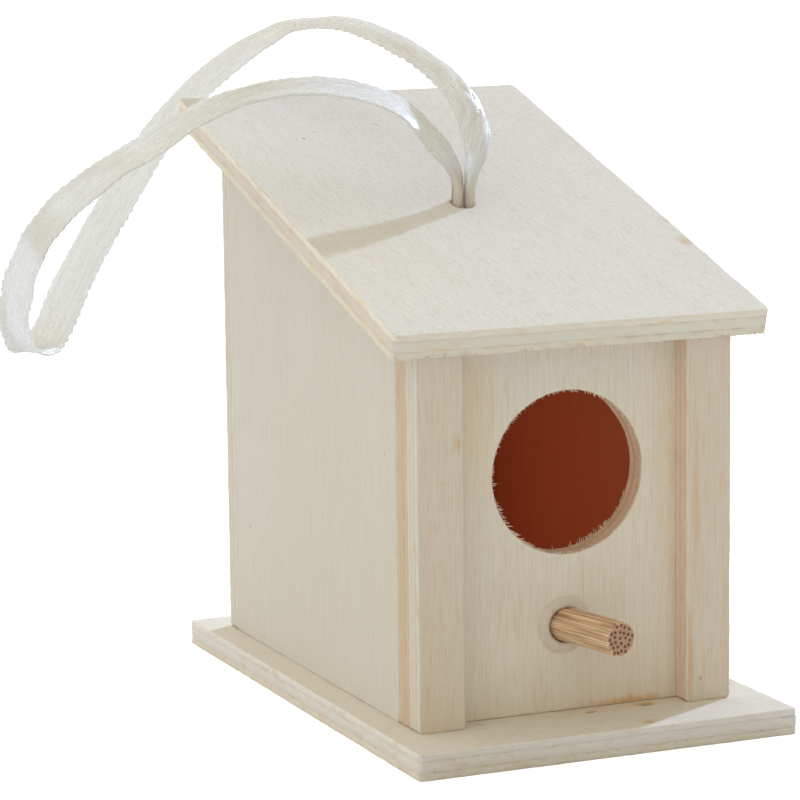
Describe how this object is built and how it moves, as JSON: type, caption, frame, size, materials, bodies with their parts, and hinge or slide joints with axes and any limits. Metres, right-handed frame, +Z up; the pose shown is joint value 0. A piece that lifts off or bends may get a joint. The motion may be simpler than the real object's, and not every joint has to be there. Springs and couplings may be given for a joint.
{
  "type": "small plywood birdhouse",
  "caption": "Small craft birdhouse of glued plywood with a round entrance, a bamboo perch, a sloping roof and a ribbon loop to hang it by.",
  "frame": {"origin": "middle of the base's underside", "axes": "+Z up, the entrance and perch face -Y, the loop leans to -X; +Y is the longest extent and +X the shortest"},
  "size_m": [0.0721, 0.0805, 0.0798],
  "materials": {
    "base_plywood": "raw, sanded",
    "wall_plywood": "raw, sanded",
    "strip_plywood": "raw, sawn edges",
    "roof_plywood": "raw, sanded",
    "bamboo": "raw, cut end",
    "dried_glue": "glossy, translucent",
    "satin_ribbon": "satin weave"
  },
  "bodies": {
    "root": {"base_plate": "base_plywood", "left_wall": "wall_plywood", "right_wall": "wall_plywood", "back_panel": "wall_plywood", "front_panel": "wall_plywood", "left_front_strip": "strip_plywood", "right_front_strip": "strip_plywood", "roof_panel": "roof_plywood", "perch": "bamboo", "perch_glue": "dried_glue", "glue_spots": "dried_glue", "hanging_ribbon": "satin_ribbon", "ribbon_knot": "satin_ribbon"}
  },
  "joints": []
}
